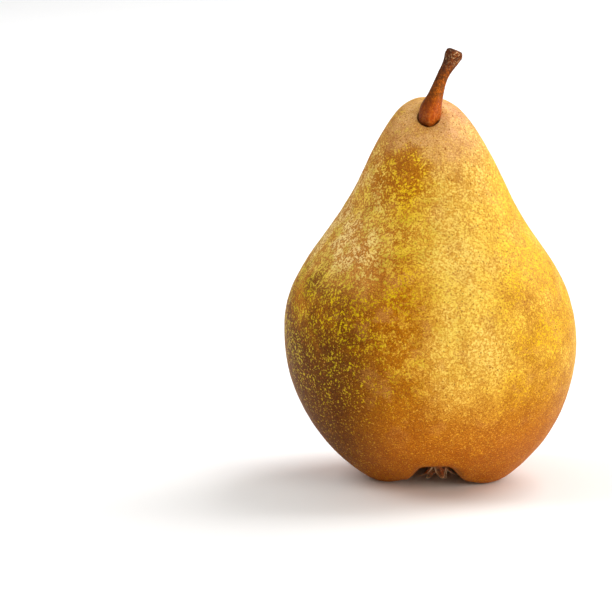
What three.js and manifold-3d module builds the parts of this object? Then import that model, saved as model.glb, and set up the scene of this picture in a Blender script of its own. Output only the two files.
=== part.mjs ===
// Bosc pear standing on its base, with its woody stem and the dried calyx under it.
// Millimetres, +Z up, the front towards -Y. The origin is on the ground, under the
// middle of the pear's bounding box.

import * as THREE from 'three';
import Module from 'manifold-3d';
import { mergeVertices } from 'three/addons/utils/BufferGeometryUtils.js';

const wasm = await Module();
wasm.setup();

// ---- Driving dimensions ----

// Flesh from the calyx basin, out over the rim, up the flank and in to the crown.
// Radius, height, and how far the section's centre lies to the right and to the back.
const profile = [
  [0, 4.6, 1.4, -8.8],
  [3, 4.6, 1.4, -8.8],
  [6.4, 3.2, 1.4, -7.3],
  [9.8, 0.8, 1.3, -4.9],
  [13.4, -0.7, 1.2, -2.4],
  [18.2, 0.5, 1.2, -0.8],
  [25, 6.2, 0.8, -0.2],
  [31.6, 14.7, 0.2, 0],
  [36, 25.8, -0.2, 0],
  [37.4, 37.5, -0.5, 0],
  [35.3, 48.3, -0.9, 0],
  [29.5, 57.4, -1, 0],
  [23.2, 66, -0.6, 0],
  [18.6, 74.3, -0.4, 0],
  [15.1, 82.3, -0.6, 0],
  [11.2, 89, -0.7, 0.2],
  [7.4, 93.7, -1, 0.6],
  [3.6, 95.9, -1.2, 1],
  [0, 96.2, -1.2, 1.2],
];
const depthRatio = 0.98;
const bodyRows = 60;
const bodySides = 72;

// Five soft ribs round the base, and a slight three-sided swell all the way up.
const ribCount = 5;
const ribSwell = 0.01;
const ribReach = 22;
const lobeCount = 3;
const lobeSwell = 0.004;
const lobeTurn = 0.6;
const lobeTwist = 0.03;

// The rim round the basin lifts off the ground between the three lobes that carry the pear.
const rimRadius = 18;
const rimReach = 11;
const rimLifts = [
  { angle: -93, height: 2.3, width: 42 },
  { angle: -132, height: 1.1, width: 19 },
  { angle: -58, height: 0.9, width: 20 },
  { angle: 24, height: 1, width: 26 },
  { angle: 152, height: 1.1, width: 26 },
];

// A dip in the front of the rim, where the calyx shows: it reaches further in than out.
const dipX = 0.7;
const dipHeight = 5.2;
const dipHalf = 5.6;
const dipPower = 4;
const dipRadius = 16;
const dipInside = 9;
const dipOutside = 5;
const dipFade = 6;

// The shallow seat that the stem stands in, on the front slope of the crown, with a low collar.
const seatX = -0.9;
const seatY = -8;
const seatDepth = 1;
const seatReach = 3.4;
const collarHeight = 0.4;
const collarRadius = 4.4;
const collarReach = 1.3;

// Stem centre line from its buried root to the cut tip: x, y, z and radius.
const stemLine = [
  [-1.5, -4.9, 89, 1.4],
  [-1.5, -6.2, 90.3, 2.2],
  [-1.4, -7.3, 91.9, 2.8],
  [-1.1, -8.1, 93.9, 2.8],
  [-0.4, -8.9, 96, 2.2],
  [0.3, -9.3, 98, 1.8],
  [1.1, -9.3, 100.4, 1.5],
  [2, -9.1, 102.6, 1.4],
  [3.1, -8.8, 104.4, 1.55],
  [4, -8.5, 106, 1.9],
  [4.5, -8.3, 107.2, 2.35],
  [4.8, -8.2, 108, 2.3],
  [5, -8.1, 108.5, 1.7],
];
const stemRows = 34;
const stemSides = 24;
const stemRidges = 5;
const stemRidgeSwell = 0.06;
const knobRidges = 3;
const knobSwell = 0.1;
const knobStart = 0.72;
const pithRadius = 0.9;
const pithDepth = 0.5;

// Calyx: a cup sunk in the floor of the basin, with its open mouth down and a little forward.
const calyxX = 1.3;
const calyxY = -10.2;
const calyxZ = 4.35;
const calyxLean = THREE.MathUtils.degToRad(20);
const cupRadius = 2.9;
const cupInside = 2.1;
const cupRoot = 3;
const cupLip = 0.5;
const cupDepth = 0.9;
const cupSides = 24;

// Five dried sepals: length, half width at the root and how far the tip flares out.
const sepals = [
  { turn: 14, length: 4.3, half: 1.7, flare: 1.7 },
  { turn: 78, length: 2.8, half: 1.8, flare: 2.9 },
  { turn: 148, length: 3.2, half: 1.7, flare: 1.6 },
  { turn: 218, length: 3.2, half: 1.6, flare: 1.8 },
  { turn: 292, length: 3.4, half: 1.8, flare: 2.9 },
];
const sepalTurn = THREE.MathUtils.degToRad(-90);
const sepalRadius = 2.4;
const sepalThick = 0.75;
const sepalTipHalf = 0.4;
const sepalCup = 0.5;
const sepalRows = 7;

// Dried stamens in a ring inside the cup, and the stub of the style in the middle.
const stamenCount = 10;
const stamenRing = 1.3;
const stamenRadius = 0.32;
const anther = 0.46;
const stamenLengths = [2.2, 2.7, 2.4];
const stamenSides = 7;
const styleLength = 2;
const styleRadius = 0.5;

// Clear gap kept between the flesh and what is rooted in it.
const gap = 0.3;

// ---- Helpers ----

// Point on a uniform cubic B-spline through rows of numbers, for t from 0 to 1.
function blend(rows, t) {
  const along = Math.min(t, 1 - 1e-9) * (rows.length - 3);
  const first = Math.floor(along);
  const f = along - first;
  const weights = [
    (1 - f) ** 3 / 6,
    (3 * f ** 3 - 6 * f ** 2 + 4) / 6,
    (-3 * f ** 3 + 3 * f ** 2 + 3 * f + 1) / 6,
    f ** 3 / 6,
  ];
  return rows[0].map((_, k) => weights.reduce((sum, w, i) => sum + w * rows[first + i][k], 0));
}

// Closed mesh over a stack of rings, each with the same number of points, capped at both ends.
function loft(rings, startPoint, endPoint) {
  const sides = rings[0].length;
  const points = [startPoint, ...rings.flat(), endPoint];
  const last = points.length - 1;
  const at = (row, side) => 1 + row * sides + (side % sides);
  const faces = [];
  for (let side = 0; side < sides; side++) {
    faces.push(0, at(0, side + 1), at(0, side));
    faces.push(last, at(rings.length - 1, side), at(rings.length - 1, side + 1));
    for (let row = 0; row + 1 < rings.length; row++) {
      faces.push(at(row, side), at(row, side + 1), at(row + 1, side + 1));
      faces.push(at(row, side), at(row + 1, side + 1), at(row + 1, side));
    }
  }
  const geometry = new THREE.BufferGeometry().setFromPoints(points);
  geometry.setIndex(faces);
  return geometry;
}

function solidOf(geometry) {
  const bare = geometry.clone();
  bare.deleteAttribute('normal');
  bare.deleteAttribute('uv');
  const merged = mergeVertices(bare, 1e-4);
  const vertProperties = new Float32Array(merged.attributes.position.array);
  const triVerts = new Uint32Array(merged.index.array);
  return new wasm.Manifold(new wasm.Mesh({ numProp: 3, vertProperties, triVerts }));
}

function geometryOf(solid) {
  const mesh = solid.getMesh();
  const geometry = new THREE.BufferGeometry();
  geometry.setAttribute('position', new THREE.BufferAttribute(mesh.vertProperties, 3));
  geometry.setIndex(new THREE.BufferAttribute(mesh.triVerts, 1));
  geometry.computeVertexNormals();
  return geometry;
}

// Circle of points round a centre, in the plane across the given direction.
function ringAcross(centre, direction, sides, radiusAt) {
  const turn = new THREE.Quaternion().setFromUnitVectors(new THREE.Vector3(0, 0, 1), direction);
  return Array.from({ length: sides }, (_, side) => {
    const angle = (2 * Math.PI * side) / sides;
    const radius = radiusAt(angle);
    const point = new THREE.Vector3(radius * Math.cos(angle), radius * Math.sin(angle), 0);
    return point.applyQuaternion(turn).add(centre);
  });
}

// ---- Flesh ----

const mirrored = ([radius, ...rest]) => [-radius, ...rest];
const profileRows = [mirrored(profile[1]), ...profile, mirrored(profile.at(-2))];

function rimLiftAt(angle) {
  let lift = 0;
  for (const { angle: centre, height, width } of rimLifts) {
    const turn = THREE.MathUtils.radToDeg(angle) - centre;
    const away = Math.abs(THREE.MathUtils.euclideanModulo(turn + 180, 360) - 180);
    lift += height * Math.exp(-((away / width) ** 2));
  }
  return lift;
}

function fleshPoint(t, angle) {
  const [radius, height, right, back] = blend(profileRows, t);
  const ribs = ribSwell * Math.exp(-((height / ribReach) ** 2)) * Math.cos(ribCount * (angle + Math.PI / 2));
  const lobes = lobeSwell * Math.cos(lobeCount * angle + lobeTwist * height + lobeTurn);
  const x = radius * (1 + ribs + lobes) * Math.cos(angle) + right;
  const y = radius * (1 + ribs + lobes) * Math.sin(angle) * depthRatio + back;
  if (t < 0.5) {
    const rim = Math.exp(-(((radius - rimRadius) / rimReach) ** 2));
    const between = Math.exp(-(Math.abs((x - dipX) / dipHalf) ** dipPower));
    const reach = radius < dipRadius ? dipInside : dipOutside;
    const across = Math.exp(-(((radius - dipRadius) / reach) ** 2));
    const dip = dipHeight * between * across * THREE.MathUtils.smoothstep(-y, 0, dipFade);
    return new THREE.Vector3(x, y, height + rim * rimLiftAt(angle) + dip);
  }
  const fromSeat = Math.hypot(x - seatX, y - seatY);
  const seat = seatDepth * Math.exp(-((fromSeat / seatReach) ** 2));
  const collar = collarHeight * Math.exp(-(((fromSeat - collarRadius) / collarReach) ** 2));
  return new THREE.Vector3(x, y, height - seat + collar);
}

function makeFlesh() {
  const rings = [];
  for (let row = 1; row < bodyRows; row++) {
    const t = row / bodyRows;
    const angles = Array.from({ length: bodySides }, (_, side) => (2 * Math.PI * side) / bodySides);
    rings.push(angles.map((angle) => fleshPoint(t, angle)));
  }
  return loft(rings, fleshPoint(0, 0), fleshPoint(1, 0));
}

// ---- Stem ----

const beyond = (end, inner) => end.map((value, k) => 2 * value - inner[k]);
const stemEnds = [beyond(stemLine[0], stemLine[1]), beyond(stemLine.at(-1), stemLine.at(-2))];
const stemSpline = [stemEnds[0], ...stemLine, stemEnds[1]];

function stemCentre(t) {
  const [x, y, z] = blend(stemSpline, t);
  return new THREE.Vector3(x, y, z);
}

// The stem is lightly ridged along its length and knobbly at the tip; clear grows it all round.
function makeStem(clear) {
  const rings = [];
  const step = 1 / stemRows;
  for (let row = 0; row <= stemRows; row++) {
    const t = row * step;
    const direction = stemCentre(Math.min(t + step, 1)).sub(stemCentre(Math.max(t - step, 0))).normalize();
    const knob = THREE.MathUtils.smoothstep(t, knobStart, 1);
    const radius = blend(stemSpline, t)[3];
    const centre = stemCentre(t).addScaledVector(direction, row === 0 ? -clear : 0);
    rings.push(ringAcross(centre, direction, stemSides, (angle) => {
      const ridges = stemRidgeSwell * Math.cos(stemRidges * angle + 2 * t);
      const knobs = knob * knobSwell * Math.cos(knobRidges * angle + 1);
      return radius * (1 + ridges + knobs) + clear;
    }));
  }
  const along = stemCentre(1).sub(stemCentre(1 - step)).normalize();
  rings.push(ringAcross(stemCentre(1), along, stemSides, () => pithRadius + clear));
  const upward = stemCentre(step).sub(stemCentre(0)).normalize();
  const root = stemCentre(0).addScaledVector(upward, -clear);
  return loft(rings, root, stemCentre(1).addScaledVector(along, -pithDepth));
}

// ---- Calyx ----

// Cup with its root up in the flesh and its bowl open downwards, about its own axis.
function makeCup() {
  const outline = [
    new THREE.Vector2(0, -cupLip + cupDepth),
    new THREE.Vector2(cupInside * 0.7, -cupLip + cupDepth),
    new THREE.Vector2(cupInside, -cupLip),
    new THREE.Vector2(cupRadius, -cupLip),
    new THREE.Vector2(cupRadius, cupRoot * 0.6),
    new THREE.Vector2(cupRadius * 0.7, cupRoot),
    new THREE.Vector2(0, cupRoot),
  ];
  return new THREE.LatheGeometry(outline, cupSides).rotateX(Math.PI / 2);
}

// Plug of flesh taken out round the cup, reaching below the basin floor.
function makeCupRoom() {
  const outline = [
    new THREE.Vector2(0, -2 * cupLip),
    new THREE.Vector2(cupRadius + gap, -2 * cupLip),
    new THREE.Vector2(cupRadius + gap, cupRoot * 0.6),
    new THREE.Vector2((cupRadius + gap) * 0.7, cupRoot + gap),
    new THREE.Vector2(0, cupRoot + gap),
  ];
  return new THREE.LatheGeometry(outline, cupSides).rotateX(Math.PI / 2);
}

// One sepal pointing down and curling outwards, cupped across its width.
function makeSepal({ turn, length, half, flare }) {
  const rings = [];
  for (let row = 0; row <= sepalRows; row++) {
    const s = row / sepalRows;
    const out = sepalRadius + flare * s ** 2;
    const down = -length * (s - 0.18 * s ** 3) + 0.2;
    const width = THREE.MathUtils.lerp(half, sepalTipHalf, s ** 1.3);
    const thick = sepalThick / 2;
    const edge = sepalCup * (width / half) ** 2;
    const section = [
      [width, -thick * 0.7 - edge],
      [width, thick * 0.7 - edge],
      [width * 0.5, thick - edge * 0.3],
      [-width * 0.5, thick - edge * 0.3],
      [-width, thick * 0.7 - edge],
      [-width, -thick * 0.7 - edge],
      [-width * 0.5, -thick - edge * 0.3],
      [width * 0.5, -thick - edge * 0.3],
    ];
    rings.push(section.map(([across, outward]) => new THREE.Vector3(out + outward, across, down)));
  }
  const total = (ring) => ring.reduce((sum, point) => sum.add(point), new THREE.Vector3());
  const centre = (ring) => total(ring).divideScalar(ring.length);
  const blade = loft(rings, centre(rings[0]), centre(rings.at(-1)));
  return blade.rotateZ(THREE.MathUtils.degToRad(turn) + sepalTurn);
}

// Thin filament hanging from the bowl of the cup, with a thicker end.
function makeStamen(ringRadius, angle, length, radius, endRadius) {
  const rings = [];
  const start = cupDepth;
  const heights = [start, start - length * 0.7, start - length * 0.82, start - length];
  const radii = [radius, radius, endRadius, endRadius * 0.8];
  const down = new THREE.Vector3(0, 0, -1);
  heights.forEach((z, k) => {
    const lean = ringRadius * (1 + 0.12 * k);
    const centre = new THREE.Vector3(lean * Math.cos(angle), lean * Math.sin(angle), z);
    rings.push(ringAcross(centre, down, stamenSides, () => radii[k]));
  });
  const top = new THREE.Vector3(ringRadius * Math.cos(angle), ringRadius * Math.sin(angle), start);
  const tipRing = ringRadius * 1.36;
  const tip = new THREE.Vector3(tipRing * Math.cos(angle), tipRing * Math.sin(angle), start - length);
  return loft(rings, top, tip);
}

function makeCalyx() {
  let solid = solidOf(makeCup());
  for (const sepal of sepals) {
    solid = solid.add(solidOf(makeSepal(sepal)));
  }
  for (let i = 0; i < stamenCount; i++) {
    const angle = (2 * Math.PI * i) / stamenCount + 0.2 * Math.sin(5 * i);
    const length = stamenLengths[i % stamenLengths.length];
    solid = solid.add(solidOf(makeStamen(stamenRing, angle, length, stamenRadius, anther)));
  }
  return solid.add(solidOf(makeStamen(0, 0, styleLength, styleRadius, styleRadius)));
}

const calyxPlace = new THREE.Matrix4()
  .makeTranslation(calyxX, calyxY, calyxZ)
  .multiply(new THREE.Matrix4().makeRotationX(-calyxLean));

// ---- Assembly ----

const groundSize = 200;
const underGround = new THREE.BoxGeometry(groundSize, groundSize, groundSize);
underGround.translate(0, 0, -groundSize / 2);
const fleshSolid = solidOf(makeFlesh())
  .subtract(solidOf(underGround))
  .subtract(solidOf(makeStem(gap)))
  .subtract(solidOf(makeCupRoom().applyMatrix4(calyxPlace)));
const stemSolid = solidOf(makeStem(0));
const calyxSolid = solidOf(geometryOf(makeCalyx()).applyMatrix4(calyxPlace));

const fleshGeometry = geometryOf(fleshSolid);
fleshGeometry.computeBoundingBox();
const middle = fleshGeometry.boundingBox.getCenter(new THREE.Vector3());

const skinMaterial = new THREE.MeshStandardMaterial({ color: 0xc98f35, roughness: 0.55, metalness: 0 });
const stemMaterial = new THREE.MeshStandardMaterial({ color: 0x7a431a, roughness: 0.75, metalness: 0 });
const calyxMaterial = new THREE.MeshStandardMaterial({ color: 0x33241a, roughness: 0.9, metalness: 0 });

const pieces = [
  ['pear_body', fleshGeometry, skinMaterial],
  ['stem', geometryOf(stemSolid), stemMaterial],
  ['calyx', geometryOf(calyxSolid), calyxMaterial],
];

const pear = new THREE.Group();
for (const [name, geometry, material] of pieces) {
  const mesh = new THREE.Mesh(geometry, material);
  mesh.name = name;
  mesh.position.set(-middle.x, -middle.y, 0);
  pear.add(mesh);
}

export default pear;
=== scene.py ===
# Bosc pear standing on its base: russet skin, woody stem, dried calyx underneath.
# Metres, +Z up, the front towards -Y, the origin on the ground under the middle of the pear.
import math
import bpy
import numpy as np
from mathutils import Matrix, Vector, noise


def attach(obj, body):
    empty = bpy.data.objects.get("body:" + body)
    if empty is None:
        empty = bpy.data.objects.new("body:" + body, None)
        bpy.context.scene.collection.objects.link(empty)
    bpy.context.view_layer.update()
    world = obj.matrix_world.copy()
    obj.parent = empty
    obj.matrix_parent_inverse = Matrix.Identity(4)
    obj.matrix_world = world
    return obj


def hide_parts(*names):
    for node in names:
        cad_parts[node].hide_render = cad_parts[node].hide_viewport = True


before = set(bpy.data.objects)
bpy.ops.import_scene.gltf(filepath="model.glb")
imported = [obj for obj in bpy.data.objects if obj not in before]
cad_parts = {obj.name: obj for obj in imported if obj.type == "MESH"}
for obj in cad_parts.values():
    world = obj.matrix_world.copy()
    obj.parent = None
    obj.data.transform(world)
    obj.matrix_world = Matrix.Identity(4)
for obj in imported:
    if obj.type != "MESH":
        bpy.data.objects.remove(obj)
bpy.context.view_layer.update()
mm = 0.001
seeds = {"dents": 1, "crinkle": 2, "bark": 4, "lumps": 6, "ragged": 8, "pith": 9, "cup": 12,
         "sepals": 20, "stamens": 40, "style": 60}


# shapes: small helpers

def blendRows(rows, t):
    # points on a uniform cubic B-spline through rows of numbers, t from 0 to 1
    rows = np.asarray(rows, float)
    along = np.clip(t, 0, 1 - 1e-9) * (len(rows) - 3)
    first = np.floor(along).astype(int)
    f = (along - first)[..., None]
    return ((1 - f) ** 3 * rows[first]
            + (3 * f ** 3 - 6 * f ** 2 + 4) * rows[first + 1]
            + (-3 * f ** 3 + 3 * f ** 2 + 3 * f + 1) * rows[first + 2]
            + f ** 3 * rows[first + 3]) / 6


def easeBetween(low, high, value):
    s = np.clip((value - low) / (high - low), 0, 1)
    return s * s * (3 - 2 * s)


def roughAt(points, size, seed, detail=3):
    # soft noise from -1 to 1 at each point, with features about size wide
    offset = Vector((seed * 7.3, seed * 3.1, seed * 5.7))
    flat = np.asarray(points, float).reshape(-1, 3) / size
    values = [noise.fractal(Vector(p) + offset, 1.0, 2.0, detail) for p in flat]
    return np.array(values).reshape(np.shape(points)[:-1])


def anglesRound(sides):
    return np.arange(sides) * 2 * math.pi / sides


def loftFaces(rows, sides):
    # quads over a stack of rings; the two ends are closed with fans to their own points
    faces = []
    for row in range(rows - 1):
        for side in range(sides):
            after = (side + 1) % sides
            faces.append((row * sides + side, row * sides + after,
                          (row + 1) * sides + after, (row + 1) * sides + side))
    start, end, last = rows * sides, rows * sides + 1, (rows - 1) * sides
    for side in range(sides):
        after = (side + 1) % sides
        faces.append((start, after, side))
        faces.append((end, last + side, last + after))
    return faces


def makeLoft(rings, startPoint, endPoint):
    rows, sides = rings.shape[:2]
    points = np.vstack([rings.reshape(-1, 3), [startPoint], [endPoint]])
    return points, loftFaces(rows, sides)


def makePiece(name, parts, material, marks=None):
    # one mesh object from several (points in mm, faces) pairs; marks holds a named number for each point
    points, faces, start = [], [], 0
    for partPoints, partFaces in parts:
        points.append(partPoints)
        faces += [tuple(start + i for i in face) for face in partFaces]
        start += len(partPoints)
    mesh = bpy.data.meshes.new(name)
    mesh.from_pydata((np.vstack(points) * mm).tolist(), [], faces)
    for label, values in (marks or {}).items():
        layer = mesh.attributes.new(label, "FLOAT", "POINT")
        layer.data.foreach_set("value", np.asarray(values, np.float32))
    mesh.shade_smooth()
    mesh.materials.append(material)
    piece = bpy.data.objects.new(name, mesh)
    bpy.context.scene.collection.objects.link(piece)
    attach(piece, "root")
    return piece


def directionsAlong(centres):
    # unit directions of a line of points
    steps = np.gradient(centres, axis=0)
    return steps / np.linalg.norm(steps, axis=1, keepdims=True)


def ringsAcross(centres, directions, radii, sides):
    # rings of points round centres; radii has one number for each ring and side
    up = np.array([0.0, 0.0, 1.0])
    angle = anglesRound(sides)
    rings = []
    for centre, direction, radius in zip(centres, directions, radii):
        turn = Vector(up).rotation_difference(Vector(direction)).to_matrix()
        flat = np.stack([radius * np.cos(angle), radius * np.sin(angle), 0 * angle], -1)
        rings.append(flat @ np.array(turn).T + centre)
    return np.array(rings)


# shaders: small helpers

def addNode(tree, kind, **settings):
    node = tree.nodes.new(kind)
    for name, value in settings.items():
        setattr(node, name, value)
    return node


def plug(tree, value, socket):
    # a socket is linked, anything else is typed in
    if isinstance(value, bpy.types.NodeSocket):
        tree.links.new(value, socket)
    else:
        socket.default_value = value


def math2(tree, operation, a, b, clamp=False):
    node = addNode(tree, "ShaderNodeMath", operation=operation, use_clamp=clamp)
    plug(tree, a, node.inputs[0])
    plug(tree, b, node.inputs[1])
    return node.outputs[0]


def product(tree, *values):
    result = values[0]
    for value in values[1:]:
        result = math2(tree, "MULTIPLY", result, value)
    return result


def total(tree, *values, clamp=False):
    # clamp keeps the whole sum between 0 and 1
    result = values[0]
    for value in values[1:-1]:
        result = math2(tree, "ADD", result, value)
    return math2(tree, "ADD", result, values[-1], clamp)


def ramp(tree, value, low, high, toLow=0.0, toHigh=1.0):
    # soft step: toLow where the value is low, toHigh where it is high; low may be the greater one
    node = addNode(tree, "ShaderNodeMapRange", interpolation_type="SMOOTHSTEP")
    for name, item in (("Value", value), ("From Min", low), ("From Max", high),
                       ("To Min", toLow), ("To Max", toHigh)):
        plug(tree, item, node.inputs[name])
    return node.outputs["Result"]


def mixColours(tree, amount, a, b, how="MIX"):
    # in a mix of colours the sockets are 0 for the amount, 6 and 7 for the colours
    node = addNode(tree, "ShaderNodeMix", data_type="RGBA", blend_type=how)
    plug(tree, amount, node.inputs[0])
    plug(tree, a, node.inputs[6])
    plug(tree, b, node.inputs[7])
    return node.outputs[2]


def paintOver(tree, tone, layers):
    # lays one colour after another over the tone, each by its own amount
    for amount, above, *how in layers:
        tone = mixColours(tree, amount, tone, above, *how)
    return tone


def noiseAt(tree, vector, scale, detail=2.0, rough=0.5, distort=0.0):
    node = addNode(tree, "ShaderNodeTexNoise")
    plug(tree, vector, node.inputs["Vector"])
    plug(tree, scale, node.inputs["Scale"])
    node.inputs["Detail"].default_value = detail
    node.inputs["Roughness"].default_value = rough
    node.inputs["Distortion"].default_value = distort
    return node.outputs["Fac"]


def cloudMask(tree, vector, cloud, edges):
    # mask from a noise: cloud as for noiseAt, edges as for ramp
    return ramp(tree, noiseAt(tree, vector, *cloud), *edges)


def shaken(tree, value, cloud, much):
    # the value moved up and down by a noise
    return total(tree, product(tree, math2(tree, "SUBTRACT", cloud, 0.5), much), value)


def distanceTo(tree, vector, point):
    node = addNode(tree, "ShaderNodeVectorMath", operation="DISTANCE")
    plug(tree, vector, node.inputs[0])
    node.inputs[1].default_value = point
    return node.outputs["Value"]


def splitPlace(tree, position):
    split = addNode(tree, "ShaderNodeSeparateXYZ")
    plug(tree, position, split.inputs[0])
    return split.outputs


def readMark(tree, label):
    return addNode(tree, "ShaderNodeAttribute", attribute_name=label).outputs["Fac"]


def addRelief(tree, shader, height, strength, depth):
    # depth in mm
    bump = addNode(tree, "ShaderNodeBump")
    bump.inputs["Strength"].default_value = strength
    bump.inputs["Distance"].default_value = depth * mm
    plug(tree, height, bump.inputs["Height"])
    plug(tree, bump.outputs[0], shader.inputs["Normal"])


def arrangeNodes(tree):
    # the nodes in columns, each left of all that it feeds
    columnWidth, rowHeight = 220, 200
    column = {node.name: 0 for node in tree.nodes}
    links = [(link.from_node.name, link.to_node.name) for link in tree.links]
    moved = True
    while moved:
        moved = False
        for source, target in links:
            if column[source] <= column[target]:
                column[source] = column[target] + 1
                moved = True
    filled = {}
    for node in tree.nodes:
        row = filled.get(column[node.name], 0)
        filled[column[node.name]] = row + 1
        node.location = (-columnWidth * column[node.name], -rowHeight * row)


def startGroup(name, inputs, output):
    # node group that takes a position and numbers with their usual values, and gives one mask
    group = bpy.data.node_groups.new(name, "ShaderNodeTree")
    group.interface.new_socket(name="Position", in_out="INPUT", socket_type="NodeSocketVector")
    for label, value in inputs.items():
        socket = group.interface.new_socket(name=label, in_out="INPUT", socket_type="NodeSocketFloat")
        socket.default_value = value
    group.interface.new_socket(name=output, in_out="OUTPUT", socket_type="NodeSocketFloat")
    given = addNode(group, "NodeGroupInput").outputs
    return group, given, addNode(group, "NodeGroupOutput").inputs[output]


def placeGroup(tree, group, position, values):
    node = addNode(tree, "ShaderNodeGroup", node_tree=group)
    plug(tree, position, node.inputs["Position"])
    for name, value in values.items():
        plug(tree, value, node.inputs[name])
    return node.outputs[0]


def startMaterial(name):
    # new material with its surface shader, and the position on the pear in millimetres
    material = bpy.data.materials.new(name)
    material.use_nodes = True
    tree = material.node_tree
    tree.nodes.clear()
    shader = addNode(tree, "ShaderNodeBsdfPrincipled")
    output = addNode(tree, "ShaderNodeOutputMaterial")
    tree.links.new(shader.outputs[0], output.inputs[0])
    where = addNode(tree, "ShaderNodeTexCoord").outputs["Object"]
    scale = addNode(tree, "ShaderNodeVectorMath", operation="SCALE")
    plug(tree, where, scale.inputs[0])
    scale.inputs["Scale"].default_value = 1 / mm
    return material, tree, shader, scale.outputs[0]


def colour(red, green, blue):
    # screen colour from 0 to 255 as the linear colour a shader wants
    parts = [c / 255 for c in (red, green, blue)]
    return tuple(p / 12.92 if p < 0.04045 else ((p + 0.055) / 1.055) ** 2.4 for p in parts) + (1,)


# shared effects

def makeSpotGroup():
    # scattered round spots: 1 inside a spot, 0 outside
    group, given, out = startGroup("scatteredSpots", {"Spacing": 2.4, "Spot Size": 0.3, "Wobble": 0.3},
                                   "Spots")
    wobbleScale, outside, inside = 1.3, 1.25, 0.55
    wobble = addNode(group, "ShaderNodeTexNoise")
    plug(group, given["Position"], wobble.inputs["Vector"])
    wobble.inputs["Scale"].default_value = wobbleScale
    push = addNode(group, "ShaderNodeVectorMath", operation="SCALE")
    plug(group, wobble.outputs["Color"], push.inputs[0])
    plug(group, given["Wobble"], push.inputs["Scale"])
    moved = addNode(group, "ShaderNodeVectorMath", operation="ADD")
    plug(group, given["Position"], moved.inputs[0])
    plug(group, push.outputs[0], moved.inputs[1])
    cells = addNode(group, "ShaderNodeTexVoronoi", feature="F1")
    plug(group, moved.outputs[0], cells.inputs["Vector"])
    plug(group, math2(group, "DIVIDE", 1.0, given["Spacing"]), cells.inputs["Scale"])
    reach = product(group, cells.outputs["Distance"], given["Spacing"])
    spots = ramp(group, reach, product(group, given["Spot Size"], outside),
                 product(group, given["Spot Size"], inside))
    plug(group, spots, out)
    arrangeNodes(group)
    return group


def makeGrainGroup():
    # fine grain from 0 to 1, stretched along the height
    group, given, out = startGroup("fineGrain", {"Size": 0.5, "Stretch": 1.0, "Contrast": 0.5}, "Grain")
    lowest, highest, narrowing = 0.15, 0.85, 0.35
    scaleBy = addNode(group, "ShaderNodeCombineXYZ")
    scaleBy.inputs["X"].default_value = 1
    scaleBy.inputs["Y"].default_value = 1
    plug(group, math2(group, "DIVIDE", 1.0, given["Stretch"]), scaleBy.inputs["Z"])
    stretched = addNode(group, "ShaderNodeVectorMath", operation="MULTIPLY")
    plug(group, given["Position"], stretched.inputs[0])
    plug(group, scaleBy.outputs[0], stretched.inputs[1])
    value = noiseAt(group, stretched.outputs[0], math2(group, "DIVIDE", 1.0, given["Size"]),
                    detail=3.0, rough=0.6)
    narrower = product(group, given["Contrast"], narrowing)
    grain = ramp(group, value, math2(group, "ADD", narrower, lowest),
                 math2(group, "SUBTRACT", highest, narrower))
    plug(group, grain, out)
    arrangeNodes(group)
    return group


scatteredSpots = makeSpotGroup()
fineGrain = makeGrainGroup()
print("shared effects made")


# skin

skin = {
    # radius, height, shift right and shift back of each section, base to crown, in mm
    "profile": [
        (0, 4.6, 1.4, -8.8), (3, 4.6, 1.4, -8.8), (6.4, 3.2, 1.4, -7.3), (9.8, 0.8, 1.3, -4.9),
        (13.4, -0.7, 1.2, -2.4), (18.2, 0.5, 1.2, -0.8), (25, 6.2, 0.8, -0.2), (31.6, 14.7, 0.2, 0),
        (36, 25.8, -0.2, 0), (37.4, 37.5, -0.5, 0), (35.3, 48.3, -0.9, 0), (29.5, 57.4, -1, 0),
        (23.2, 66, -0.6, 0), (18.6, 74.3, -0.4, 0), (15.1, 82.3, -0.6, 0), (11.2, 89, -0.7, 0.2),
        (7.4, 93.7, -1, 0.6), (3.6, 95.9, -1.2, 1), (0, 96.2, -1.2, 1.2)],
    "depthRatio": 0.98,
    "ribs": (5, 0.01, 22),              # how many, how much, how far up
    "lobes": (3, 0.004, 0.03, 0.6),     # how many, how much, twist, turn
    "rim": (18, 11),                    # radius and reach of the rim that lifts
    # the lifts along the rim: turn in degrees, height, width in degrees
    "rimLifts": [(-93, 2.3, 42), (-132, 1.1, 19), (-58, 0.9, 20), (24, 1, 26), (152, 1.1, 26)],
    "dip": (0.7, 5.2, 5.6, 4, 6),       # in front: middle, height, half width, steepness, fade
    "dipAcross": (16, 9, 5),            # its radius, and its reach inwards and outwards
    "seat": (-0.9, -8, 1, 3.4),         # place, depth and reach of the stem's seat
    "collar": (0.4, 4.4, 1.3),          # height, radius and reach of the low collar round it
    "rows": 280, "sides": 280,
    "dents": 0.22, "dentSize": 15,      # slow unevenness of the flesh
    "crinkle": 0.05, "crinkleSize": 3.2,
    "coreHeight": 45,                   # dents go straight in below it, and towards it above
    "footFade": 3,                      # no dents on the ground, all of them from this height
    "crownFrom": 80, "baseUpTo": 12,    # heights
    "crease": (0.02, 0.1, 1.8, 0.9),    # gap at the back and at the front, depth, push back
    "creaseWidth": 0.55,
    "creaseFront": (-0.55, -0.83),      # the way the wide side of the gap faces
    "creaseTurn": (-0.3, 0.7),          # cosines between which the gap widens
    "cupHole": (2.8, 3.3, 2.2),         # radius where the hole starts and ends, depth
    # marks for the colours: half width, steepness, radius and reach of the pale painted highlight on the
    # rim, then distances
    "rimHighlightMark": (5.5, 4, 15.5, 1.6),
    "shadeByStem": (-0.05, 0.3), "ringByStem": (0.4, 3.4), "shadeByCup": (2.6, 4.4),
}


def mirrored(row):
    # the row past a closed end, on the other side of the axis
    return (-row[0],) + tuple(row[1:])


skinRows = [mirrored(skin["profile"][1])] + skin["profile"] + [mirrored(skin["profile"][-2])]


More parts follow.
